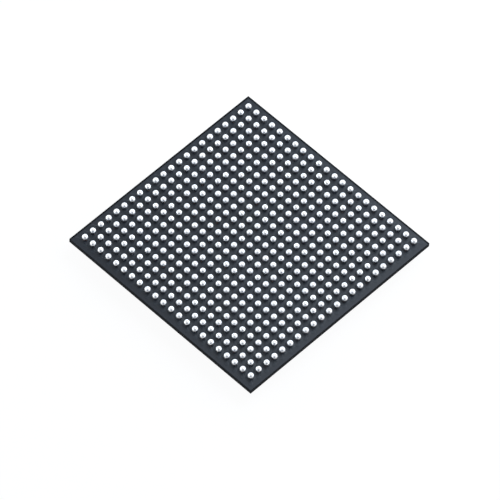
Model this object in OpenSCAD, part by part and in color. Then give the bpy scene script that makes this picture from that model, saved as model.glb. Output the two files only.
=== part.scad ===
// Plastic ball grid array chip, lying on its moulded cap with the solder balls up.
// Lengths are in millimetres and angles in degrees.
// The origin is the middle of the face that the chip lies on. +Z points out of the ball side,
// and the A1 corner is at +X +Y.

/* [Substrate] */
// Width of the square substrate along X and Y
body_w = 23; // [22.7:0.1:31]
// Thickness of the laminate core
core_h = 0.48; // [0.3:0.02:0.9]
// Thickness of each solder mask film, measured on the core
mask_h = 0.04; // [0.03:0.005:0.06]
// How far both solder mask films stay back from the sawn edges
mask_pullback = 0.05; // [0:0.01:0.15]
// Thickness of the plated copper on each side
copper_h = 0.02; // [0.01:0.002:0.026]

/* [Ball grid] */
// Number of rows, and of balls in a row
balls_n = 22; // [14:2:22]
// Distance between neighbouring balls, centre to centre
pitch = 1; // [0.85:0.01:1.02]
// Diameter of a ball
ball_d = 0.64; // [0.5:0.01:0.7]
// Diameter of the mask opening that a ball sits in
opening_d = 0.46; // [0.36:0.01:0.48]
// Gap all round between a ball's foot and the wall of its opening
ball_clear = 0.005; // [0.002:0.001:0.01]
// Diameter of the copper land under a ball
land_d = 0.6; // [0.52:0.01:0.66]

/* [Vias] */
// Diameter of a plated via through the core
via_d = 0.2; // [0.12:0.01:0.24]
// Diameter of the copper land round each end of a via
via_land_d = 0.36; // [0.28:0.01:0.4]
// Width of the copper neck from a ball's land to its via
neck_w = 0.12; // [0.08:0.01:0.2]

/* [Mould cap] */
// Height of the cap, from the face that the chip lies on to the substrate
cap_h = 1.17; // [0.9:0.01:1.4]
// Width of the cap where it meets the substrate
cap_w = 20; // [16:0.1:22]
// Slope of the cap's sides, from the vertical
cap_draft = 30; // [0:1:40]
// Chamfer on three corners of the cap, along each side
cap_corner = 1.2; // [0.4:0.1:2]
// Chamfer on the corner next to ball A1, along each side
cap_corner_a1 = 2.4; // [2.1:0.1:3.5]
// Diameter of the round A1 dimple in the marking face
dimple_d = 1.2; // [0.5:0.1:2]
// Depth of the dimple
dimple_h = 0.08; // [0.04:0.01:0.15]
// Distance from the middle of the dimple to each side of the cap, at the substrate
dimple_inset = 3; // [2.8:0.1:5]

/* [Die] */
// Width of the square silicon die
die_w = 8; // [6:0.1:12]
// Thickness of the die
die_h = 0.3; // [0.1:0.01:0.4]
// Thickness of the die attach adhesive
attach_h = 0.03; // [0.015:0.005:0.06]
// How far the adhesive reaches out past the die
attach_margin = 0.1; // [0:0.01:0.15]

/* [Wire bonds] */
// Bond wires on each side of the die
wires_n = 24; // [8:1:30]
// Distance from the die's corners to the first and the last bond pad of a side
pad_corner = 1; // [0.2:0.05:1.5]
// Distance from the die's edge to the bond pads
pad_inset = 0.1; // [0.06:0.01:0.2]
// Distance between bond fingers
finger_pitch = 0.34; // [0.2:0.01:0.34]
// Width of a bond finger
finger_w = 0.14; // [0.08:0.01:0.18]
// Gap from a finger or a ring to the edge of its opening, and from ring to ring
bond_gap = 0.05; // [0.02:0.01:0.07]
// Width of the mask web between an opening on the die side and the nearest via land
web = 0.05; // [0.03:0.01:0.08]
// Diameter of the gold wire
wire_d = 0.025; // [0.018:0.001:0.04]
// Diameter of the ball bond on the die
bond_d = 0.07; // [0.05:0.005:0.09]
// Height of the ball bond
bond_h = 0.02; // [0.01:0.005:0.03]
// Height of the flat stitch bond at the wire's far end
stitch_h = 0.01; // [0.005:0.001:0.012]
// Bend radius of a wire above its ball bond
loop_r = 0.12; // [0.06:0.01:0.2]

/* [Hidden] */
// Row names from the A1 corner. I, O, Q, S, X and Z are never used for a row.
ROWS = ["a", "b", "c", "d", "e", "f", "g", "h", "j", "k", "l",
        "m", "n", "p", "r", "t", "u", "v", "w", "y", "aa", "ab"];
SIDES = ["east", "north", "west", "south"];
$fn = 48;
// Overlap of a cutting shape past the face that it cuts
past = 0.1;

// Width of both solder mask films
mask_w = body_w - 2 * mask_pullback;

// Heights, from the face that the chip lies on
core_z = cap_h + mask_h;
core_top_z = core_z + core_h;
die_top_z = cap_h - attach_h;
die_face_z = die_top_z - die_h;

// The ball: a sphere cut where it meets the mask, on a short foot that fills the opening
ball_r = ball_d / 2;
mask_over_copper = mask_h - copper_h;
foot_r = opening_d / 2 - ball_clear;
ball_rise = sqrt(ball_r * ball_r - foot_r * foot_r);

// Vias stand between the balls, on lines a whole number of pitches from the middle.
// The rings lie between the first two lines outside the die, the fingers between the next two.
first_line = ceil((die_w / 2 + attach_margin - via_land_d / 2 - web) / pitch);
ring_mid = (first_line + 0.5) * pitch;
finger_mid = ring_mid + pitch;
window_w = pitch - via_land_d - 2 * web;
finger_l = window_w - 2 * bond_gap;
ring_w = (window_w - 3 * bond_gap) / 2;
ground_mid = ring_mid - (ring_w + bond_gap) / 2;
power_mid = ring_mid + (ring_w + bond_gap) / 2;

// Place of ball or via i along a row, counted from the side away from A1
function ball_at(i) = (i - (balls_n - 1) / 2) * pitch;
function outward(i) = i < balls_n / 2 ? -1 : 1;
function via_at(i) = ball_at(i) + outward(i) * pitch / 2;

// Bond wire k of a side: where it starts, and the line that its far end comes down on.
// One wire in six goes to the ground ring and one in six to the power ring.
function spread(k) = k - (wires_n - 1) / 2;
function bond_line(k) = k % 6 == 1 ? ground_mid : k % 6 == 4 ? power_mid : finger_mid;
pad_x = die_w / 2 - pad_inset;
pad_pitch = (die_w - 2 * pad_corner) / (wires_n - 1);
function fan(k) = (bond_line(k) - pad_x) / (finger_mid - pad_x);
function landing_y(k) = spread(k) * (pad_pitch + (finger_pitch - pad_pitch) * fan(k));

// A wire leaves its ball bond upright, bends round an arc and runs straight down to its stitch bond.
// The arc starts at half the height of the ball bond.
wire_r = wire_d / 2;
wire_drop = bond_h / 2 + die_h + attach_h + mask_over_copper - wire_r;
function wire_run(k) = norm([bond_line(k) - pad_x, landing_y(k) - spread(k) * pad_pitch]) - loop_r;
function wire_dist(k) = norm([wire_run(k), wire_drop]);
function wire_dip(k) = atan2(wire_drop, wire_run(k)) + asin(loop_r / wire_dist(k));

module all_balls() {
    for (i = [0:balls_n - 1], j = [0:balls_n - 1]) translate([ball_at(i), ball_at(j)]) children();
}

module all_vias() {
    for (i = [0:balls_n - 1], j = [0:balls_n - 1]) translate([via_at(i), via_at(j)]) children();
}

// A square slab of width w, from height z up
module slab(w, z, h) {
    translate([-w / 2, -w / 2, z]) cube([w, w, h]);
}

// A square frame of width w whose middle line is at distance mid from the centre
module square_frame(mid, w) {
    difference() {
        square(2 * mid + w, center = true);
        square(2 * mid - w, center = true);
    }
}

// Laminate core of the substrate, drilled for the vias
module substrate_core() {
    color("#3b4038") difference() {
        slab(body_w, core_z, core_h);
        translate([0, 0, core_z - past]) linear_extrude(core_h + 2 * past)
            all_vias() circle(d = via_d);
    }
}

// Outline of a ball's land, its neck and the land round its via
module land_outline(i, j) {
    translate([ball_at(i), ball_at(j)]) {
        circle(d = land_d);
        rotate(atan2(outward(j), outward(i))) {
            translate([0, -neck_w / 2]) square([pitch * sqrt(0.5), neck_w]);
            translate([pitch * sqrt(0.5), 0]) circle(d = via_land_d);
        }
    }
}

module land_outlines() {
    for (i = [0:balls_n - 1], j = [0:balls_n - 1]) land_outline(i, j);
}

// Plated copper from each ball to the die side: the ball's land and neck, and the filled via
// with its land at the far end
module ball_circuits() {
    color("#c98b5a")
        for (i = [0:balls_n - 1], j = [0:balls_n - 1]) {
            translate([0, 0, core_top_z]) linear_extrude(copper_h) land_outline(i, j);
            translate([via_at(i), via_at(j), core_z]) cylinder(d = via_d, h = core_h);
            translate([via_at(i), via_at(j), core_z - copper_h]) cylinder(d = via_land_d, h = copper_h);
        }
}

// Solder mask over the core and the copper, open over the middle of each ball's land
module ball_side_mask() {
    color("#3a424a") difference() {
        slab(mask_w, core_top_z, mask_h);
        translate([0, 0, core_top_z - past]) linear_extrude(copper_h + past) land_outlines();
        translate([0, 0, core_top_z]) linear_extrude(mask_h + past) all_balls() circle(d = opening_d);
    }
}

// Solder mask on the die side, open over the two rings and over the bond fingers
module die_side_mask() {
    color("#3a424a") difference() {
        slab(mask_w, cap_h, mask_h);
        translate([0, 0, core_z - copper_h]) linear_extrude(copper_h + past)
            all_vias() circle(d = via_land_d);
        bond_windows(past);
    }
}

// The two square windows in the die side mask, with an extra height at both faces
module bond_windows(extra) {
    for (mid = [ring_mid, finger_mid])
        translate([0, 0, cap_h - extra]) linear_extrude(mask_h + 2 * extra)
            square_frame(mid, window_w);
}

module ring(mid) {
    color("#d9a441") translate([0, 0, core_z - copper_h]) linear_extrude(copper_h)
        square_frame(mid, ring_w);
}

module bond_fingers(side) {
    color("#d9a441") rotate(90 * side)
        for (k = [0:wires_n - 1])
            if (bond_line(k) == finger_mid)
                translate([finger_mid - finger_l / 2, landing_y(k) - finger_w / 2, core_z - copper_h])
                    cube([finger_l, finger_w, copper_h]);
}

// A wire in its own frame: the ball bond stands on the origin and the wire runs along +X
module bond_wire(k) {
    dip = wire_dip(k);
    cylinder(d = bond_d, h = bond_h);
    translate([loop_r, 0, bond_h / 2]) rotate([90, 0, 0]) {
        rotate(90 - dip) rotate_extrude(angle = 90 + dip) translate([loop_r, 0]) circle(r = wire_r);
        rotate(90 - dip) translate([loop_r, 0]) rotate([90, 0, 0])
            cylinder(r = wire_r, h = sqrt(pow(wire_dist(k), 2) - pow(loop_r, 2)));
        translate([wire_run(k), -wire_drop - wire_r]) rotate([-90, 0, 0])
            cylinder(d = bond_d, h = stitch_h);
    }
}

module bond_wires(side) {
    color("#e3b84f") rotate(90 * side)
        for (k = [0:wires_n - 1])
            translate([pad_x, spread(k) * pad_pitch, die_face_z]) mirror([0, 0, 1])
                rotate(atan2(landing_y(k) - spread(k) * pad_pitch, bond_line(k) - pad_x))
                    bond_wire(k);
}

module silicon_die() {
    color("#6f7a85") slab(die_w, die_face_z, die_h);
}

module die_attach() {
    color("#c9c4b8") slab(die_w + 2 * attach_margin, die_top_z, attach_h);
}

// A prism along Y whose two sides slope in towards z = 0. Its sides stand at x = -near and x = far
// at the substrate.
module drafted_prism(near, far) {
    slope = cap_h * tan(cap_draft);
    rotate([90, 0, 0]) linear_extrude(2 * cap_w, center = true)
        polygon([[-near + slope, 0], [far - slope, 0], [far, cap_h], [-near, cap_h]]);
}

// The outside of the cap: four pairs of drafted sides, the diagonal ones being the corners
module cap_outside() {
    side = cap_w / 2;
    corner = (cap_w - cap_corner) / sqrt(2);
    corner_a1 = (cap_w - cap_corner_a1) / sqrt(2);
    intersection() {
        drafted_prism(side, side);
        rotate(90) drafted_prism(side, side);
        rotate(45) drafted_prism(corner, corner_a1);
        rotate(135) drafted_prism(corner, corner);
    }
}

// Moulding compound: it fills the windows of the mask and closes round the die and its wires
module mould_cap() {
    color("#26282b") difference() {
        union() {
            cap_outside();
            bond_windows(0);
        }
        silicon_die();
        die_attach();
        ring(ground_mid);
        ring(power_mid);
        for (side = [0:3]) {
            bond_fingers(side);
            bond_wires(side);
        }
        translate([cap_w / 2 - dimple_inset, cap_w / 2 - dimple_inset, -past])
            cylinder(d = dimple_d, h = dimple_h + past);
    }
}

module ball() {
    rotate_extrude() {
        square([foot_r, mask_over_copper]);
        translate([0, mask_over_copper]) intersection() {
            translate([0, ball_rise]) circle(r = ball_r);
            square(2 * ball_r);
        }
    }
}

module ball_row(r) {
    color("#c8ccd2")
        for (i = [0:balls_n - 1])
            translate([ball_at(i), -ball_at(r), core_top_z + copper_h]) ball();
}

mould_cap();
silicon_die();
die_attach();
ring(ground_mid);  // ground_ring
ring(power_mid);  // power_ring
for (side = [0:3]) {
    bond_fingers(side);
    bond_wires(side);
}
die_side_mask();
substrate_core();
ball_circuits();
ball_side_mask();
for (r = [0:balls_n - 1])
    ball_row(r);
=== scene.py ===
"""Looks of a plastic ball grid array chip: solder balls, printed solder mask, laminate and moulded cap."""

import math

import bmesh
import bpy
import numpy as np
from mathutils import Matrix, Vector


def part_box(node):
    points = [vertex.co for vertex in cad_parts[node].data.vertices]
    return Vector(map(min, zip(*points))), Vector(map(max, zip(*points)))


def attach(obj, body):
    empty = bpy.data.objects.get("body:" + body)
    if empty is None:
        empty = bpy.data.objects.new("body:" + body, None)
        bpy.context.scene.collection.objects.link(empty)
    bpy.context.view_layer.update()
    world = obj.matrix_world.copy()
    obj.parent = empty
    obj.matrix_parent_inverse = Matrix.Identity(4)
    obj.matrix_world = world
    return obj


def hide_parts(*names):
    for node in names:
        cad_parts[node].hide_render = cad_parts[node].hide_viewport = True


bl_info = {
    "name": "Ball grid array chip",
    "version": (1, 0, 0),
    "blender": (4, 5, 0),
    "location": "View3D > Sidebar > Chip",
    "description": "Builds the pieces of a ball grid array chip round its packed frame",
    "category": "Mesh",
}

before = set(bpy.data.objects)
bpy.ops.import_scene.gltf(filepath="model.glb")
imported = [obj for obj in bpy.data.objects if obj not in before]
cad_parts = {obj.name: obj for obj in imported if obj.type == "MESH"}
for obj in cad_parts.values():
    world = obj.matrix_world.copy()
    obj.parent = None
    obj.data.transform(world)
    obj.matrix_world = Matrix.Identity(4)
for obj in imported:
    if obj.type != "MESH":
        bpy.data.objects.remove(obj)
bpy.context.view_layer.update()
MM = 0.001

# The rows of balls from +Y to -Y, and what their boxes say of the grid
ROWS = sorted((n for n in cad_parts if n.startswith("ball_row_")), key=lambda n: -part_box(n)[0].y)
ROW_BOXES = [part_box(name) for name in ROWS]
BALL_D = ROW_BOXES[0][1].y - ROW_BOXES[0][0].y
PITCH = (ROW_BOXES[0][0].y - ROW_BOXES[-1][0].y) / (len(ROWS) - 1)
COPPER_TOP = ROW_BOXES[0][0].z
BALL_TOP = ROW_BOXES[0][1].z
MASK_LOW, MASK_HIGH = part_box("ball_side_mask")
CAP_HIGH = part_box("mould_cap")[1]
DIE_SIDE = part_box("die_side_mask")[0].z
FOOT_R = math.sqrt((BALL_D / 2) ** 2 - (BALL_TOP - MASK_HIGH.z - BALL_D / 2) ** 2)


def linear(code):
    """An sRGB hex colour such as #3A424A as four linear numbers."""
    srgb = np.array([int(code[i : i + 2], 16) / 255 for i in (1, 3, 5)])
    values = np.where(srgb <= 0.04045, srgb / 12.92, ((srgb + 0.055) / 1.055) ** 2.4)
    return (*values.tolist(), 1.0)


# The daylight tint of the studio's lamps
COOL = (0.89, 1.0, 1.13)

# What metal and film mirror of the studio: its white, a touch cool, and its unlit side
STUDIO_WHITE = (0.965, 0.99, 1.02, 1.0)
STUDIO_UNLIT = linear("#6E7688")
# How steeply the middle of the unlit side rises, and the cosines from it at which the side starts and is full
UNLIT_RISE, UNLIT_START, UNLIT_FULL = 0.5, 0.77, 0.975

# Way round from the camera's side and elevation in degrees, then distance and size in metres
KEY_LIGHT = (134, 50, 0.088, (0.078, 0.078))
STRIP_WAYS = {"strip_back": 180, "strip_left": -100, "strip_right": 100}
STRIP_LIGHT = (16, 0.5, (0.6, 0.15))

# Half the floor's width, how far it lies under the chip, and its opening as a share of the marking face
FLOOR_HALF, FLOOR_DROP, FLOOR_OPENING = 0.6, 0.001 * MM, 0.9

# What the camera looks at: near the middle of the chip, at the height of the balls
AIM = Vector((0.897, -0.865, 2.051)) * MM

# How far the wall of a mask opening stands off the ball's foot, and how far a ball's top leans
WALL_GAP = 0.005 * MM
LEAN = 0.008 * MM
SEED = 22


def direction(azimuth, elevation):
    """The unit vector at an azimuth, counted from -Y towards +X, and an elevation over the floor."""
    level = math.cos(elevation)
    return Vector((math.sin(azimuth) * level, -math.cos(azimuth) * level, math.sin(elevation)))


def per_mm(size):
    """Texture scale at which one feature of a pattern is that many millimetres across."""
    return 1 / (size * MM)


# Settings


class BallSettings(bpy.types.PropertyGroup):
    segments: bpy.props.IntProperty(
        name="Segments", description="Faces round one ball", default=14, min=8, max=32
    )
    bands: bpy.props.IntProperty(
        name="Bands", description="Faces from a ball's foot to its top", default=5, min=3, max=16
    )
    spread: bpy.props.FloatProperty(
        name="Size spread", description="Share by which the balls differ in width", default=0.02, min=0,
        max=0.05
    )
    colour: bpy.props.FloatVectorProperty(
        name="Solder", description="Colour of reflowed solder", subtype="COLOR", size=4,
        default=linear("#ECEDEE")
    )
    oxide: bpy.props.FloatVectorProperty(
        name="Dull solder", description="Colour of its duller grains", subtype="COLOR", size=4,
        default=linear("#C4C8CD")
    )


class MaskSettings(bpy.types.PropertyGroup):
    segments: bpy.props.IntProperty(
        name="Segments", description="Faces round one opening", default=16, min=8, max=32
    )
    relief: bpy.props.FloatProperty(
        name="Relief", description="How far the film sinks between the copper lands", subtype="DISTANCE",
        unit="LENGTH", default=0.012 * MM, min=0, max=0.02 * MM
    )
    land: bpy.props.FloatProperty(
        name="Land", description="Diameter of the copper land under the film", subtype="DISTANCE",
        unit="LENGTH", default=0.6 * MM, min=0.5 * MM, max=0.8 * MM
    )
    via_land: bpy.props.FloatProperty(
        name="Via land", description="Diameter of the copper round a via", subtype="DISTANCE",
        unit="LENGTH", default=0.36 * MM, min=0.2 * MM, max=0.5 * MM
    )
    neck: bpy.props.FloatProperty(
        name="Neck", description="Width of the copper from a land to its via", subtype="DISTANCE",
        unit="LENGTH", default=0.12 * MM, min=0.05 * MM, max=0.2 * MM
    )
    near: bpy.props.FloatProperty(
        name="Near sides", description="How far the print reaches out past its true edge at +X and -Y",
        subtype="DISTANCE", unit="LENGTH", default=0.04 * MM, min=0, max=0.045 * MM
    )
    far: bpy.props.FloatProperty(
        name="Far sides", description="How far it stays back from its true edge at -X and +Y",
        subtype="DISTANCE", unit="LENGTH", default=0.13 * MM, min=0, max=0.3 * MM
    )
    colour: bpy.props.FloatVectorProperty(
        name="Film", description="Colour of the solder mask", subtype="COLOR", size=4,
        default=linear("#17202B")
    )
    over_copper: bpy.props.FloatVectorProperty(
        name="Film over copper", description="Its colour where copper lies under it", subtype="COLOR", size=4,
        default=linear("#19242F")
    )


class CapSettings(bpy.types.PropertyGroup):
    draft: bpy.props.FloatProperty(
        name="Draft", description="Slope of the sides from the vertical", subtype="ANGLE",
        default=math.radians(30),
        min=0, max=math.radians(40)
    )
    corner: bpy.props.FloatProperty(
        name="Corner", description="Chamfer of three corners along each side", subtype="DISTANCE",
        unit="LENGTH", default=1.2 * MM, min=0.4 * MM, max=2 * MM
    )
    corner_a1: bpy.props.FloatProperty(
        name="A1 corner", description="Chamfer of the corner next to ball A1", subtype="DISTANCE",
        unit="LENGTH", default=2.4 * MM, min=2 * MM, max=3.5 * MM
    )
    edge: bpy.props.FloatProperty(
        name="Edge radius", description="Radius round the marking face", subtype="DISTANCE",
        unit="LENGTH", default=0.12 * MM, min=0.02 * MM, max=0.3 * MM
    )
    dimple: bpy.props.FloatProperty(
        name="Dimple", description="Diameter of the A1 dimple", subtype="DISTANCE",
        unit="LENGTH", default=1.2 * MM, min=0.5 * MM, max=2 * MM
    )
    dimple_depth: bpy.props.FloatProperty(
        name="Dimple depth", description="Depth of the A1 dimple", subtype="DISTANCE",
        unit="LENGTH", default=0.08 * MM, min=0.02 * MM, max=0.15 * MM
    )
    dimple_inset: bpy.props.FloatProperty(
        name="Dimple inset", description="From the dimple's middle to each side at the substrate",
        subtype="DISTANCE",
        unit="LENGTH", default=3 * MM, min=2.8 * MM, max=5 * MM
    )
    colour: bpy.props.FloatVectorProperty(
        name="Compound", description="Colour of the moulding compound", subtype="COLOR", size=4,
        default=linear("#222426")
    )


class StageSettings(bpy.types.PropertyGroup):
    azimuth: bpy.props.FloatProperty(
        name="Azimuth", description="Where the camera stands round the chip", subtype="ANGLE",
        default=math.radians(42.075)
    )
    elevation: bpy.props.FloatProperty(
        name="Elevation", description="How high the camera stands", subtype="ANGLE",
        default=math.radians(54.925)
    )
    roll: bpy.props.FloatProperty(
        name="Roll", description="Turn of the camera about its view", subtype="ANGLE",
        default=math.radians(3.091)
    )
    distance: bpy.props.FloatProperty(
        name="Distance", description="From the camera to the balls", subtype="DISTANCE", unit="LENGTH",
        default=571.2 * MM
    )
    lens: bpy.props.FloatProperty(name="Lens", description="Focal length in millimetres", default=456.25)
    key: bpy.props.FloatProperty(
        name="Key light", description="Power of the small soft light beyond the chip", subtype="POWER",
        unit="POWER",
        default=0.032
    )
    strip: bpy.props.FloatProperty(
        name="Strip lights", description="Power of each low soft light round the chip", subtype="POWER",
        unit="POWER",
        default=0.7
    )
    fill: bpy.props.FloatProperty(
        name="Fill light", description="Strength of the light from all round", default=0.2, min=0, max=1
    )


# Shapes


def mesh_object(name, points, faces, smooth=True):
    """A mesh object at the origin from an array of points and a list of faces."""
    mesh = bpy.data.meshes.new(name)
    mesh.from_pydata(np.asarray(points, float).tolist(), [], faces)
    mesh.polygons.foreach_set("use_smooth", np.full(len(mesh.polygons), smooth))
    mesh.update()
    piece = bpy.data.objects.new(name, mesh)
    bpy.context.scene.collection.objects.link(piece)
    return piece


def ring_faces(rings, around, start=0):
    """Quads between neighbouring rings of points: ring k holds points k*around to (k + 1)*around - 1."""
    k, j = np.meshgrid(np.arange(rings - 1), np.arange(around), indexing="ij")
    a = start + k * around + j
    b = start + k * around + (j + 1) % around
    return np.stack([a, b, b + around, a + around], -1).reshape(-1, 4)


def weld(piece, distance, sharp=None):
    """Merges the points of a piece that lie closer than a distance, and marks edges sharper than an angle."""
    work = bmesh.new()
    work.from_mesh(piece.data)
    bmesh.ops.remove_doubles(work, verts=work.verts, dist=distance)
    if sharp is not None:
        for edge in work.edges:
            edge.smooth = edge.calc_face_angle(0.0) < sharp
    work.to_mesh(piece.data)
    work.free()


def ball_points(segments, bands):
    """Points of one ball about its own foot, and its faces.

    With t from 0 at the wetted circle to 1 at the top, the polar angle from the top is (1 - t) * edge, where
    sin(edge) is the wetted radius over the ball's radius, past the equator. The radius is R sin(angle) and
    the height is c + R cos(angle), c being the height of the sphere's centre over the foot. A short foot
    runs from the wetted circle down to the copper."""
    radius = BALL_D / 2
    edge = math.pi - math.asin(FOOT_R / radius)
    polar = edge * (1 - np.arange(bands) / bands)
    centre = BALL_TOP - radius - COPPER_TOP
    across = np.concatenate([[FOOT_R], radius * np.sin(polar)])
    height = np.concatenate([[0.0], centre + radius * np.cos(polar)])
    turn = 2 * np.pi * np.arange(segments) / segments
    rings = np.stack(
        [
            across[:, None] * np.cos(turn),
            across[:, None] * np.sin(turn),
            np.broadcast_to(height[:, None], (bands + 1, segments)),
        ],
        -1,
    ).reshape(-1, 3)
    points = np.vstack([rings, [[0, 0, centre + radius]]])
    last = bands * segments
    j = np.arange(segments)
    cap = np.stack([last + j, last + (j + 1) % segments, np.full(segments, len(rings))], -1)
    faces = [list(range(segments))[::-1], *ring_faces(bands + 1, segments).tolist(), *cap.tolist()]
    return points, faces, [0, 0, centre]


def balls_in_row(name, box, settings, rng):
    """One row as a single mesh: the ball's points, widened, leaned and turned a little, at each ball's place.

    Point = place + Turn(angle) (x w, y w, z h) + lean z / ball height, as one product over all the balls."""
    points, faces, middle = ball_points(settings.segments, settings.bands)
    low, high = box
    across = high.x - low.x - BALL_D
    count = round(across / PITCH) + 1
    places = np.linspace(low.x + BALL_D / 2, high.x - BALL_D / 2, count)
    wide = 1 + settings.spread * rng.uniform(-1, 0.2, count)
    tall = 1 + settings.spread * rng.uniform(-1, 0, count)
    angle = rng.uniform(0, 2 * np.pi, count)
    lean = LEAN * rng.normal(0, 1, (count, 2))
    rise = np.clip((points[:, 2] - (MASK_HIGH.z - COPPER_TOP)) / BALL_D, 0, 1)
    x, y = points[:, 0], points[:, 1]
    grow = 1 + (wide[:, None] - 1) * np.clip(rise * 4, 0, 1)
    cos, sin = np.cos(angle)[:, None], np.sin(angle)[:, None]
    out = np.stack(
        [
            places[:, None] + grow * (cos * x - sin * y) + lean[:, :1] * rise,
            (low.y + high.y) / 2 + grow * (sin * x + cos * y) + lean[:, 1:] * rise,
            COPPER_TOP + points[:, 2] * (1 + (tall[:, None] - 1) * rise),
        ],
        -1,
    ).reshape(-1, 3)
    step = len(points)
    all_faces = [[i + k * step for i in face] for k in range(count) for face in faces]
    piece = mesh_object(name, out, all_faces)
    round_out = (points - middle) / np.linalg.norm(points - middle, axis=1)[:, None]
    out_x, out_y = round_out[:, 0], round_out[:, 1]
    turned = np.stack([cos * out_x - sin * out_y, sin * out_x + cos * out_y], -1)
    normals = np.concatenate([turned, np.broadcast_to(round_out[:, 2:], (count, step, 1))], -1)
    piece.data.normals_split_custom_set_from_vertices(normals.reshape(-1, 3).tolist())
    tone = piece.data.attributes.new("tone", "FLOAT", "POINT")
    tone.data.foreach_set("value", np.repeat(rng.uniform(0, 1, count), step).astype(np.float32))
    return piece


def film_points(settings):
    """The solder mask as one closed sheet over a grid of square cells, one for each ball.

    Round a cell's middle, with angle q and band v, the radius goes from the opening through the edge of the
    land to the cell's border at (p / 2) / max(|cos q|, |sin q|), p being the pitch. The height is the film's
    top over the land and sinks by the relief outside it. The lowest ring closes the opening's wall, and the
    sheet's underside runs from there to the border on the laminate."""
    top, low = MASK_HIGH.z, MASK_LOW.z
    wall, land = FOOT_R + WALL_GAP, settings.land / 2
    # radius and height of each ring inside the border, from the foot of the opening's wall outwards
    rings = [
        (wall, COPPER_TOP),
        (wall + 0.001 * MM, top - 0.005 * MM),
        (wall + 0.007 * MM, top),
        (land + 0.005 * MM, top),
        (land + 0.035 * MM, top - settings.relief),
    ]
    turn = 2 * np.pi * np.arange(settings.segments) / settings.segments
    unit = np.stack([np.cos(turn), np.sin(turn)], -1)
    border = (PITCH / 2 / np.abs(unit).max(1))[:, None] * unit
    flat = np.stack([radius * unit for radius, height in rings] + [border, border])
    heights = [height for radius, height in rings] + [top - settings.relief, low]
    cell = np.concatenate([flat, np.broadcast_to(np.array(heights)[:, None, None], (*flat.shape[:2], 1))], -1)
    bands = len(rings) + 1
    j = np.arange(settings.segments)
    after = (j + 1) % settings.segments
    upper = ring_faces(bands, settings.segments)[:, ::-1]
    last = bands * settings.segments
    under = np.stack([after, j, last + j, last + after], -1)[:, ::-1]
    cell_faces = np.vstack([upper, under])
    half = len(ROWS) / 2 - 0.5
    at = (np.arange(len(ROWS)) - half) * PITCH
    gx, gy = np.meshgrid(at, at, indexing="ij")
    places = np.stack([gx.ravel(), gy.ravel(), np.zeros(gx.size)], -1)
    points = (places[:, None, :] + cell.reshape(-1, 3)).reshape(-1, 3)
    step = len(cell.reshape(-1, 3))
    faces = (np.arange(gx.size)[:, None, None] * step + cell_faces).reshape(-1, 4)
    return points, faces, border


def film_margin(settings, border):
    """The plain margin round the grid: the grid's border points carried out to the film's own edge.

    Along one side the points run at the cells' border steps s. The profile goes from the grid's border across
    the top, round the edge and down the wall, then back under: (border, top), (edge - e, top),
    (edge, top - e), (edge, low), (border, low). The four sides are one strip turned by quarter turns, with
    mitred corners. The outer points then move towards +X and -Y, because the saw never follows the print
    exactly."""
    top, low = MASK_HIGH.z - settings.relief, MASK_LOW.z
    grid, edge, soft = len(ROWS) / 2 * PITCH, MASK_HIGH.x, 0.006 * MM
    steps = np.unique(np.round(border[np.isclose(border[:, 0], PITCH / 2), 1], 12))
    half = len(ROWS) / 2 - 0.5
    along = np.unique(np.round(((np.arange(len(ROWS)) - half)[:, None] * PITCH + steps).ravel(), 9))
    profile = np.array([(grid, top), (edge - soft, top), (edge, top - soft), (edge, low), (grid, low)])
    # only the two corner points of each side follow the mitre outwards, so every quad stays square
    s = np.broadcast_to(along, (len(profile), len(along))).copy()
    s[:, 0], s[:, -1] = -profile[:, 0], profile[:, 0]
    strip = np.stack(
        [
            np.broadcast_to(profile[:, :1], s.shape),
            s,
            np.broadcast_to(profile[:, 1:], s.shape),
        ],
        -1,
    )
    k, j = np.meshgrid(np.arange(len(profile) - 1), np.arange(len(along) - 1), indexing="ij")
    a = k * len(along) + j
    quads = np.stack([a, a + len(along), a + len(along) + 1, a + 1], -1).reshape(-1, 4)
    points, faces = [], []
    for quarter in range(4):
        turn = np.array(Matrix.Rotation(quarter * math.pi / 2, 3, "Z"))
        faces.append(quads + quarter * strip.reshape(-1, 3).shape[0])
        points.append(strip.reshape(-1, 3) @ turn.T)
    points = np.vstack(points)
    toward = np.array([1, -1, 0])
    moved = points + toward * np.where(points * toward > 0, settings.near, settings.far)
    return np.where(np.abs(points) > grid + soft, moved, points), np.vstack(faces)


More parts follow.
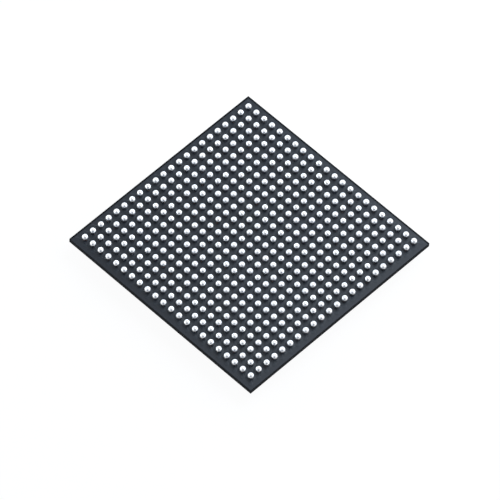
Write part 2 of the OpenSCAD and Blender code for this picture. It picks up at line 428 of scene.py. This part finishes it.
def cap_points(settings):
    """The moulded cap as one closed surface in an angle q and a profile v, about the axis of the A1 dimple.

    The outline is an octagon. Its radius at q is the p-norm blend of its eight sides,
    1 / (sum (n.u / (d - inset - n.c))^p)^(1/p), where u points along q, n and d are a side's outward normal
    and distance, and c is the axis: p rounds the corners a little. The inset grows by tan(draft) down the
    sides, follows an arc round the marking face and ends at the dimple, whose rings are circles about the
    axis."""
    half = CAP_HIGH.x
    height = DIE_SIDE
    side_angles = np.arange(8) * math.pi / 4
    normals = np.stack([np.cos(side_angles), np.sin(side_angles)], -1)
    distances = np.full(8, half)
    distances[1::2] = (2 * half - settings.corner) / math.sqrt(2)
    distances[1] = (2 * half - settings.corner_a1) / math.sqrt(2)
    centre = np.array([half - settings.dimple_inset] * 2)
    # where neighbouring sides meet, so that the samples crowd round the corners
    nearby = np.roll(np.arange(8), -1)
    corners = np.linalg.solve(
        np.stack([normals, normals[nearby]], 1), np.stack([distances, distances[nearby]], -1)[..., None]
    )[..., 0]
    toward = np.arctan2(*(corners - centre).T[::-1])
    crowd = np.array([-0.05, -0.02, -0.008, 0, 0.008, 0.02, 0.05])
    turn = np.concatenate([np.linspace(-np.pi, np.pi, 72, endpoint=False), (toward[:, None] + crowd).ravel()])
    turn = np.unique(np.round(np.mod(turn, 2 * np.pi), 4))
    unit = np.stack([np.cos(turn), np.sin(turn)], -1)

    power = 90

    def outline(inset):
        share = np.clip(unit @ normals.T, 0, None) / (distances - inset - normals @ centre)
        return (share**power).sum(1) ** (-1 / power)

    slope, edge = settings.draft, settings.edge
    arc = np.linspace(-slope, -math.pi / 2, 6)
    arc_out = (-height * math.sin(slope) - edge * (1 - math.sin(slope))) / math.cos(slope)
    # inset and height from the substrate down the drafted side and round the edge
    insets = np.concatenate([[0.0, height * 0.5 * math.tan(slope)], -(arc_out + edge * np.cos(arc))])
    levels = np.concatenate([[height, height * 0.5], edge + edge * np.sin(arc)])
    radii = [outline(inset) for inset in insets]
    hole, deep = settings.dimple / 2, settings.dimple_depth
    # radius and height of each ring of the dimple, from its rim inwards
    dimple = [(hole + 0.02 * MM, 0), (hole, 0.012 * MM), (hole - 0.03 * MM, deep), (hole / 2, deep)]
    for radius, level in dimple:
        radii.append(np.full(len(turn), radius))
        levels = np.append(levels, level)
    rings = np.concatenate(
        [
            centre + np.array(radii)[..., None] * unit,
            np.broadcast_to(levels[:, None, None], (len(radii), len(turn), 1)),
        ],
        -1,
    )
    points = np.vstack([rings.reshape(-1, 3), [[*centre, height], [*centre, deep]]])
    faces = ring_faces(len(radii), len(turn))[:, ::-1].tolist()
    j = np.arange(len(turn))
    after = (j + 1) % len(turn)
    last = (len(radii) - 1) * len(turn)
    faces += np.stack([j, after, np.full(len(turn), len(points) - 2)], -1).tolist()
    faces += np.stack([last + after, last + j, np.full(len(turn), len(points) - 1)], -1).tolist()
    return points, faces


# Materials


def add(tree, kind, inputs=None, **settings):
    """Adds one shader node with its settings. Each input takes a value or an output to link to it."""
    node = tree.nodes.new(kind)
    for name, value in settings.items():
        setattr(node, name, value)
    for socket, value in (inputs or {}).items():
        if isinstance(value, bpy.types.NodeSocket):
            tree.links.new(value, node.inputs[socket])
        else:
            node.inputs[socket].default_value = value
    return node


def material(name):
    """A new material with a bare Principled shader, as (material, node tree, shader)."""
    made = bpy.data.materials.new(name)
    made.use_nodes = True
    made.node_tree.nodes.clear()
    shader = add(made.node_tree, "ShaderNodeBsdfPrincipled")
    add(made.node_tree, "ShaderNodeOutputMaterial", {"Surface": shader.outputs["BSDF"]})
    return made, made.node_tree, shader


def solder_reflowed(settings):
    """Tin silver copper solder, melted and set: a bright metal skin with the faint grain of its freezing."""
    made, tree, shader = material("solder_reflowed")
    place = add(tree, "ShaderNodeTexCoord").outputs["Object"]
    tone = add(tree, "ShaderNodeAttribute", attribute_name="tone").outputs["Fac"]
    # frozen grains about 0.16 mm across, which dull parts of the skin
    grains = add(tree, "ShaderNodeTexNoise", {"Vector": place, "Scale": per_mm(0.16), "Detail": 3.0})
    dull = add(
        tree, "ShaderNodeMapRange",
        {"Value": grains.outputs["Fac"], "From Min": 0.5, "From Max": 0.75, "To Max": 0.3}
    )
    colour = add(
        tree, "ShaderNodeMix", {"Factor": dull.outputs["Result"], "A": settings.colour, "B": settings.oxide},
        data_type="RGBA"
    )
    rough = add(tree, "ShaderNodeMapRange", {"Value": tone, "To Min": 0.24, "To Max": 0.34})
    rougher = add(
        tree, "ShaderNodeMath", {0: dull.outputs["Result"], 1: 0.12, 2: rough.outputs["Result"]},
        operation="MULTIPLY_ADD"
    )
    # dendrites some 0.05 mm apart: a fine frost in the highlights
    frost = add(tree, "ShaderNodeTexVoronoi", {"Vector": place, "Scale": per_mm(0.05)})
    bump = add(
        tree, "ShaderNodeBump",
        {"Height": frost.outputs["Distance"], "Strength": 0.12, "Distance": 0.004 * MM}
    )
    tree.links.new(colour.outputs["Result"], shader.inputs["Base Color"])
    tree.links.new(rougher.outputs["Value"], shader.inputs["Roughness"])
    tree.links.new(bump.outputs["Normal"], shader.inputs["Normal"])
    shader.inputs["Metallic"].default_value = 1.0
    return made


def copper_pattern(tree, place, settings, necks):
    """1 where a via's copper lies under the film and 0 elsewhere, with or without the necks to the balls.

    Each quarter of the grid mirrors the next, so the pattern is worked out on |x| and |y| in pitches: vias
    stand on whole numbers and balls on halves, and each neck runs outwards along the diagonal."""
    quarter = add(tree, "ShaderNodeVectorMath", {0: place}, operation="ABSOLUTE")
    cells = add(
        tree, "ShaderNodeVectorMath", {0: quarter.outputs["Vector"], 1: (1 / PITCH, 1 / PITCH, 0)},
        operation="MULTIPLY"
    )
    shifted = add(
        tree, "ShaderNodeVectorMath", {0: cells.outputs["Vector"], 1: (0.5, 0.5, 0)}, operation="ADD"
    )
    via = add(tree, "ShaderNodeVectorMath", {0: shifted.outputs["Vector"]}, operation="FRACTION")
    from_via = add(
        tree, "ShaderNodeVectorMath", {0: via.outputs["Vector"], 1: (0.5, 0.5, 0)}, operation="SUBTRACT"
    )
    away = add(tree, "ShaderNodeVectorMath", {0: from_via.outputs["Vector"]}, operation="LENGTH")
    disc = falling(tree, away.outputs["Value"], settings.via_land / 2 / PITCH)
    if not necks:
        return disc
    ball = add(tree, "ShaderNodeVectorMath", {0: cells.outputs["Vector"]}, operation="FRACTION")
    from_ball = add(
        tree, "ShaderNodeVectorMath", {0: ball.outputs["Vector"], 1: (0.5, 0.5, 0)}, operation="SUBTRACT"
    )
    turned = add(
        tree, "ShaderNodeVectorRotate", {"Vector": from_ball.outputs["Vector"], "Angle": -math.pi / 4},
        rotation_type="Z_AXIS"
    )
    along = add(tree, "ShaderNodeSeparateXYZ", {0: turned.outputs["Vector"]})
    off_line = add(tree, "ShaderNodeMath", {0: along.outputs["Y"]}, operation="ABSOLUTE")
    line = falling(tree, off_line.outputs["Value"], settings.neck / 2 / PITCH)
    forward = add(tree, "ShaderNodeMath", {0: along.outputs["X"], 1: 0.0}, operation="GREATER_THAN")
    neck = add(tree, "ShaderNodeMath", {0: line, 1: forward.outputs["Value"]}, operation="MULTIPLY")
    return add(
        tree, "ShaderNodeMath", {0: disc, 1: neck.outputs["Value"]}, operation="MAXIMUM"
    ).outputs["Value"]


def falling(tree, value, level):
    """A smooth fall from 1 to 0 where a value passes a level."""
    soft = 0.03
    step = add(
        tree, "ShaderNodeMapRange",
        {"Value": value, "From Min": level - soft, "From Max": level + soft, "To Min": 1.0, "To Max": 0.0},
        interpolation_type="SMOOTHSTEP",
    )
    return step.outputs["Result"]


def solder_mask_printed(settings, name, necks):
    """Black photo-imaged epoxy, printed and cured: satin, faintly orange peeled, raised over copper."""
    made, tree, shader = material(name)
    place = add(tree, "ShaderNodeTexCoord").outputs["Object"]
    copper = copper_pattern(tree, place, settings, necks)
    # uneven cure, in clouds a few millimetres across
    clouds = add(tree, "ShaderNodeTexNoise", {"Vector": place, "Scale": per_mm(4.0), "Detail": 4.0})
    level = add(
        tree, "ShaderNodeMapRange",
        {"Value": clouds.outputs["Fac"], "From Min": 0.3, "From Max": 0.7, "To Min": 0.92, "To Max": 1.08}
    )
    base = add(
        tree, "ShaderNodeMix", {"Factor": copper, "A": settings.colour, "B": settings.over_copper},
        data_type="RGBA"
    )
    toned = add(
        tree, "ShaderNodeVectorMath", {0: base.outputs["Result"], "Scale": level.outputs["Result"]},
        operation="SCALE"
    )
    # orange peel of the print, about 0.2 mm from crest to crest
    peel = add(tree, "ShaderNodeTexNoise", {"Vector": place, "Scale": per_mm(0.2), "Detail": 2.0})
    rough = add(
        tree, "ShaderNodeMapRange", {"Value": peel.outputs["Fac"], "To Min": 0.28, "To Max": 0.38}
    )
    fine = add(
        tree, "ShaderNodeBump", {"Height": peel.outputs["Fac"], "Strength": 0.35, "Distance": 0.006 * MM}
    )
    raised = add(
        tree, "ShaderNodeBump",
        {"Height": copper, "Strength": 1.0, "Distance": settings.relief, "Normal": fine.outputs["Normal"]},
    )
    tree.links.new(toned.outputs["Vector"], shader.inputs["Base Color"])
    tree.links.new(rough.outputs["Result"], shader.inputs["Roughness"])
    tree.links.new(raised.outputs["Normal"], shader.inputs["Normal"])
    shader.inputs["IOR"].default_value = 1.5
    shader.inputs["Specular IOR Level"].default_value = 0.35
    return made


def laminate_sawn():
    """Glass cloth and resin laminate with sawn edges: dark, dry and lined where the saw cut the cloth."""
    made, tree, shader = material("laminate_sawn")
    place = add(tree, "ShaderNodeTexCoord").outputs["Object"]
    # plies 0.1 mm thick with yarn bundles 0.5 mm apart
    plies = add(
        tree, "ShaderNodeMapping", {"Vector": place, "Scale": (per_mm(0.5), per_mm(0.5), per_mm(0.1))}
    )
    yarn = add(tree, "ShaderNodeTexNoise", {"Vector": plies.outputs["Vector"], "Scale": 1.0, "Detail": 3.0})
    colour = add(
        tree, "ShaderNodeMix",
        {"Factor": yarn.outputs["Fac"], "A": linear("#06080B"), "B": linear("#161A20")},
        data_type="RGBA"
    )
    # saw marks about 0.04 mm apart, drawn along the height
    marks = add(
        tree, "ShaderNodeMapping", {"Vector": place, "Scale": (per_mm(0.04), per_mm(0.04), per_mm(0.6))}
    )
    saw = add(tree, "ShaderNodeTexNoise", {"Vector": marks.outputs["Vector"], "Scale": 1.0, "Detail": 2.0})
    bump = add(
        tree, "ShaderNodeBump", {"Height": saw.outputs["Fac"], "Strength": 0.5, "Distance": 0.006 * MM}
    )
    tree.links.new(colour.outputs["Result"], shader.inputs["Base Color"])
    tree.links.new(bump.outputs["Normal"], shader.inputs["Normal"])
    shader.inputs["Roughness"].default_value = 0.75
    shader.inputs["Specular IOR Level"].default_value = 0.1
    return made


def compound_moulded(settings):
    """Black epoxy moulding compound from a spark eroded mould: matt, finely grained, with pale specks."""
    made, tree, shader = material("compound_moulded")
    place = add(tree, "ShaderNodeTexCoord").outputs["Object"]
    # eroded grain, 0.05 mm in the real mould and drawn at 0.09 mm so that it shows
    grain = add(tree, "ShaderNodeTexNoise", {"Vector": place, "Scale": per_mm(0.09), "Detail": 3.0})
    clouds = add(tree, "ShaderNodeTexNoise", {"Vector": place, "Scale": per_mm(5.0), "Detail": 3.0})
    specks = add(tree, "ShaderNodeTexVoronoi", {"Vector": place, "Scale": per_mm(0.12)})
    speck = add(
        tree, "ShaderNodeMapRange",
        {"Value": specks.outputs["Distance"], "From Min": 0.1, "From Max": 0.2, "To Min": 0.35, "To Max": 0.0}
    )
    tint = add(
        tree, "ShaderNodeMix",
        {"Factor": speck.outputs["Result"], "A": settings.colour, "B": linear("#55585C")},
        data_type="RGBA"
    )
    level = add(
        tree, "ShaderNodeMapRange",
        {"Value": clouds.outputs["Fac"], "From Min": 0.3, "From Max": 0.7, "To Min": 0.9, "To Max": 1.1}
    )
    toned = add(
        tree, "ShaderNodeVectorMath", {0: tint.outputs["Result"], "Scale": level.outputs["Result"]},
        operation="SCALE"
    )
    rough = add(tree, "ShaderNodeMapRange", {"Value": grain.outputs["Fac"], "To Min": 0.55, "To Max": 0.75})
    bump = add(
        tree, "ShaderNodeBump", {"Height": grain.outputs["Fac"], "Strength": 0.6, "Distance": 0.01 * MM}
    )
    tree.links.new(toned.outputs["Vector"], shader.inputs["Base Color"])
    tree.links.new(rough.outputs["Result"], shader.inputs["Roughness"])
    tree.links.new(bump.outputs["Normal"], shader.inputs["Normal"])
    shader.inputs["IOR"].default_value = 1.55
    return made


def inner_finish(name, code, worn, metallic, roughness, grain):
    """A finish for an inner piece: its colour, clouded towards a second one in patches of grain size."""
    made, tree, shader = material(name)
    place = add(tree, "ShaderNodeTexCoord").outputs["Object"]
    patches = add(tree, "ShaderNodeTexNoise", {"Vector": place, "Scale": per_mm(grain), "Detail": 3.0})
    colour = add(
        tree, "ShaderNodeMix", {"Factor": patches.outputs["Fac"], "A": linear(code), "B": linear(worn)},
        data_type="RGBA"
    )
    bump = add(
        tree, "ShaderNodeBump",
        {"Height": patches.outputs["Fac"], "Strength": 0.2, "Distance": grain * 0.02 * MM}
    )
    tree.links.new(colour.outputs["Result"], shader.inputs["Base Color"])
    tree.links.new(bump.outputs["Normal"], shader.inputs["Normal"])
    shader.inputs["Metallic"].default_value = metallic
    shader.inputs["Roughness"].default_value = roughness
    return made


def finish_with(piece, made):
    """Gives a piece or a carried-over node one material."""
    piece.data.materials.clear()
    piece.data.materials.append(made)


# Operators


class CHIP_OT_solder_balls(bpy.types.Operator):
    """Builds every row of solder balls"""

    bl_idname = "chip.solder_balls"
    bl_label = "Solder balls"

    def execute(self, context):
        settings = context.scene.chip_balls
        made = solder_reflowed(settings)
        rng = np.random.default_rng(SEED)
        for name, box in zip(ROWS, ROW_BOXES):
            piece = balls_in_row(name.replace("ball_row", "solder_balls"), box, settings, rng)
            finish_with(piece, made)
            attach(piece, "root")
            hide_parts(name)
        return {"FINISHED"}


class CHIP_OT_ball_side_film(bpy.types.Operator):
    """Builds the solder mask of the ball side, open round each ball"""

    bl_idname = "chip.ball_side_film"
    bl_label = "Ball side film"

    def execute(self, context):
        settings = context.scene.chip_mask
        points, faces, border = film_points(settings)
        more_points, more_faces = film_margin(settings, border)
        all_faces = [*faces.tolist(), *(more_faces + len(points)).tolist()]
        piece = mesh_object("ball_side_film", np.vstack([points, more_points]), all_faces)
        weld(piece, 0.0004 * MM, sharp=math.radians(30))
        finish_with(piece, solder_mask_printed(settings, "solder_mask_printed", True))
        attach(piece, "root")
        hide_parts("ball_side_mask")
        return {"FINISHED"}


class CHIP_OT_moulded_cap(bpy.types.Operator):
    """Builds the moulded cap with its drafted sides, rounded edge and A1 dimple"""

    bl_idname = "chip.moulded_cap"
    bl_label = "Moulded cap"

    def execute(self, context):
        settings = context.scene.chip_cap
        points, faces = cap_points(settings)
        piece = mesh_object("moulded_cap", points, faces)
        weld(piece, 0.0001 * MM, sharp=math.radians(25))
        finish_with(piece, compound_moulded(settings))
        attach(piece, "root")
        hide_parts("mould_cap")
        return {"FINISHED"}


class CHIP_OT_carried_nodes(bpy.types.Operator):
    """Finishes the laminate, the die side film and the pieces inside"""

    bl_idname = "chip.carried_nodes"
    bl_label = "Laminate and inner pieces"

    def execute(self, context):
        gold_plate = inner_finish("gold_plate_electroless", "#D9AE5A", "#C79A45", 1.0, 0.35, 0.05)
        finishes = {
            "substrate_core": laminate_sawn(),
            "die_side_mask": solder_mask_printed(context.scene.chip_mask, "solder_mask_die_side", False),
            "ball_circuits": inner_finish("copper_plated", "#C98B66", "#A86A48", 1.0, 0.4, 0.06),
            "silicon_die": inner_finish("silicon_polished", "#5C646D", "#4B5259", 0.6, 0.15, 1.0),
            "die_attach": inner_finish("epoxy_silver_filled", "#B9B6AE", "#A29E94", 0.3, 0.6, 0.1),
            "ground_ring": gold_plate,
            "power_ring": gold_plate,
        }
        wire = inner_finish("gold_wire_drawn", "#E6BE62", "#D3A548", 1.0, 0.25, 0.02)
        for name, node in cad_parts.items():
            if name.startswith("bond_fingers"):
                finishes[name] = gold_plate
            elif name.startswith("bond_wires"):
                finishes[name] = wire
            if name in finishes:
                finish_with(node, finishes[name])
        return {"FINISHED"}


class CHIP_OT_stage(bpy.types.Operator):
    """Sets the floor, the soft light and the camera"""

    bl_idname = "chip.stage"
    bl_label = "Stage"

    def execute(self, context):
        settings = context.scene.chip_stage
        self.floor(context.scene.chip_cap.draft)
        self.surroundings(context.scene, settings)
        self.soft_light("key", *KEY_LIGHT, settings.key, settings)
        for name, way in STRIP_WAYS.items():
            self.soft_light(name, way, *STRIP_LIGHT, settings.strip, settings)
        self.camera(context.scene, settings)
        context.scene.view_settings.view_transform = "Standard"
        return {"FINISHED"}

    def floor(self, draft):
        """A white floor that keeps the soft shadow. What the eye and metal see of it is mostly its own white.

        From below it is clear, and it is open under the marking face, so that the underside can be seen."""
        opening = FLOOR_OPENING * (CAP_HIGH.x - DIE_SIDE * math.tan(draft))
        turn = math.pi / 4 + np.arange(4) * math.pi / 2
        square = np.stack([np.cos(turn), np.sin(turn)], -1) * math.sqrt(2)
        rings = np.vstack([opening * square, FLOOR_HALF * square])
        points = np.hstack([rings, np.full((len(rings), 1), -FLOOR_DROP)])
        floor = mesh_object("floor", points, ring_faces(2, 4)[:, ::-1].tolist(), smooth=False)
        made = bpy.data.materials.new("floor_white")
        made.use_nodes = True
        tree = made.node_tree
        tree.nodes.clear()
        plain = add(tree, "ShaderNodeBsdfDiffuse", {"Color": linear("#E4E4E4")})
        faint = add(tree, "ShaderNodeBsdfDiffuse", {"Color": linear("#646464")})
        glow = add(tree, "ShaderNodeEmission", {"Strength": 0.94})
        seen = add(tree, "ShaderNodeAddShader", {0: faint.outputs["BSDF"], 1: glow.outputs["Emission"]})
        ray = add(tree, "ShaderNodeLightPath")
        mirror = add(
            tree, "ShaderNodeMath", {0: ray.outputs["Is Camera Ray"], 1: ray.outputs["Is Glossy Ray"]},
            operation="MAXIMUM"
        )
        clear = add(
            tree, "ShaderNodeMath", {0: mirror.outputs["Value"], 1: ray.outputs["Is Transmission Ray"]},
            operation="MAXIMUM"
        )
        mixed = add(
            tree, "ShaderNodeMixShader",
            {0: clear.outputs["Value"], 1: plain.outputs["BSDF"], 2: seen.outputs["Shader"]}
        )
        below = add(tree, "ShaderNodeNewGeometry").outputs["Backfacing"]
        open_air = add(tree, "ShaderNodeBsdfTransparent").outputs["BSDF"]
        one_way = add(tree, "ShaderNodeMixShader", {0: below, 1: mixed.outputs["Shader"], 2: open_air})
        add(tree, "ShaderNodeOutputMaterial", {"Surface": one_way.outputs["Shader"]})
        finish_with(floor, made)

    def surroundings(self, scene, settings):
        """A white studio all round. It lights at the fill strength. Its unlit side is behind the camera."""
        world = bpy.data.worlds.new("studio")
        scene.world = world
        world.use_nodes = True
        tree = world.node_tree
        tree.nodes.clear()
        way = add(tree, "ShaderNodeTexCoord").outputs["Generated"]
        unlit = Vector((math.sin(settings.azimuth), -math.cos(settings.azimuth), UNLIT_RISE)).normalized()
        facing = add(tree, "ShaderNodeVectorMath", {0: way, 1: unlit}, operation="DOT_PRODUCT")
        shade = add(
            tree, "ShaderNodeMapRange",
            {
                "Value": facing.outputs["Value"],
                "From Min": UNLIT_START,
                "From Max": UNLIT_FULL,
                "To Min": 1.0,
                "To Max": 0.0,
            },
            interpolation_type="SMOOTHSTEP",
        )
        ray = add(tree, "ShaderNodeLightPath")
        mirror = add(
            tree, "ShaderNodeMath", {0: ray.outputs["Is Glossy Ray"], 1: ray.outputs["Is Transmission Ray"]},
            operation="MAXIMUM"
        )
        # white, going over to a cool grey on the unlit side
        toned = add(
            tree, "ShaderNodeMix",
            {"Factor": shade.outputs["Result"], "A": STUDIO_UNLIT, "B": STUDIO_WHITE},
            data_type="RGBA"
        )
        daylight = [settings.fill * c for c in COOL] + [1.0]
        reflected = add(
            tree, "ShaderNodeMix",
            {"Factor": mirror.outputs["Value"], "A": daylight, "B": toned.outputs["Result"]},
            data_type="RGBA"
        )
        level = add(
            tree, "ShaderNodeMix",
            {
                "Factor": ray.outputs["Is Camera Ray"],
                "A": reflected.outputs["Result"],
                "B": linear("#FFFFFF"),
            },
            data_type="RGBA"
        )
        glow = add(tree, "ShaderNodeBackground", {"Color": level.outputs["Result"]})
        add(tree, "ShaderNodeOutputWorld", {"Surface": glow.outputs["Background"]})

    def soft_light(self, name, way, elevation, distance, size, power, settings):
        """One soft light, its way in degrees from the camera's side, anticlockwise seen from above."""
        lamp = bpy.data.lights.new(name, "AREA")
        lamp.shape = "RECTANGLE"
        lamp.size, lamp.size_y = size
        lamp.energy = power
        lamp.color = COOL
        light = bpy.data.objects.new(name, lamp)
        bpy.context.scene.collection.objects.link(light)
        light.visible_camera = False
        away = direction(settings.azimuth + math.radians(way), math.radians(elevation))
        light.location = away * distance
        light.rotation_euler = away.to_track_quat("Z", "Y").to_euler()

    def camera(self, scene, settings):
        """A long lens aimed near the middle of the balls, at the stated azimuth, elevation and roll."""
        a, r = settings.azimuth, settings.roll
        back = direction(a, settings.elevation)
        level = Vector((math.cos(a), math.sin(a), 0))
        right = math.cos(r) * level + math.sin(r) * back.cross(level)
        up = back.cross(right)
        lens = bpy.data.cameras.new("camera")
        lens.lens = settings.lens
        lens.clip_start, lens.clip_end = 0.01, 10
        camera = bpy.data.objects.new("camera", lens)
        scene.collection.objects.link(camera)
        turn = Matrix((right, up, back)).transposed()
        camera.matrix_world = Matrix.Translation(AIM + back * settings.distance) @ turn.to_4x4()
        scene.camera = camera


class CHIP_PT_panel(bpy.types.Panel):
    """The chip's operators in the sidebar"""

    bl_label = "Ball grid array chip"
    bl_space_type = "VIEW_3D"
    bl_region_type = "UI"
    bl_category = "Chip"

    def draw(self, context):
        for operator in OPERATORS:
            self.layout.operator(operator.bl_idname)


OPERATORS = (
    CHIP_OT_solder_balls,
    CHIP_OT_ball_side_film,
    CHIP_OT_moulded_cap,
    CHIP_OT_carried_nodes,
    CHIP_OT_stage,
)
SETTINGS = {
    "chip_balls": BallSettings,
    "chip_mask": MaskSettings,
    "chip_cap": CapSettings,
    "chip_stage": StageSettings,
}


def register():
    for made in (*SETTINGS.values(), *OPERATORS, CHIP_PT_panel):
        bpy.utils.register_class(made)
    for name, group in SETTINGS.items():
        setattr(bpy.types.Scene, name, bpy.props.PointerProperty(type=group))


def unregister():
    for name in SETTINGS:
        delattr(bpy.types.Scene, name)
    for made in (CHIP_PT_panel, *OPERATORS[::-1], *SETTINGS.values()):
        bpy.utils.unregister_class(made)


def main():
    register()
    bpy.ops.chip.solder_balls()
    bpy.ops.chip.ball_side_film()
    bpy.ops.chip.moulded_cap()
    bpy.ops.chip.carried_nodes()
    bpy.ops.chip.stage()


if __name__ == "__main__":
    main()
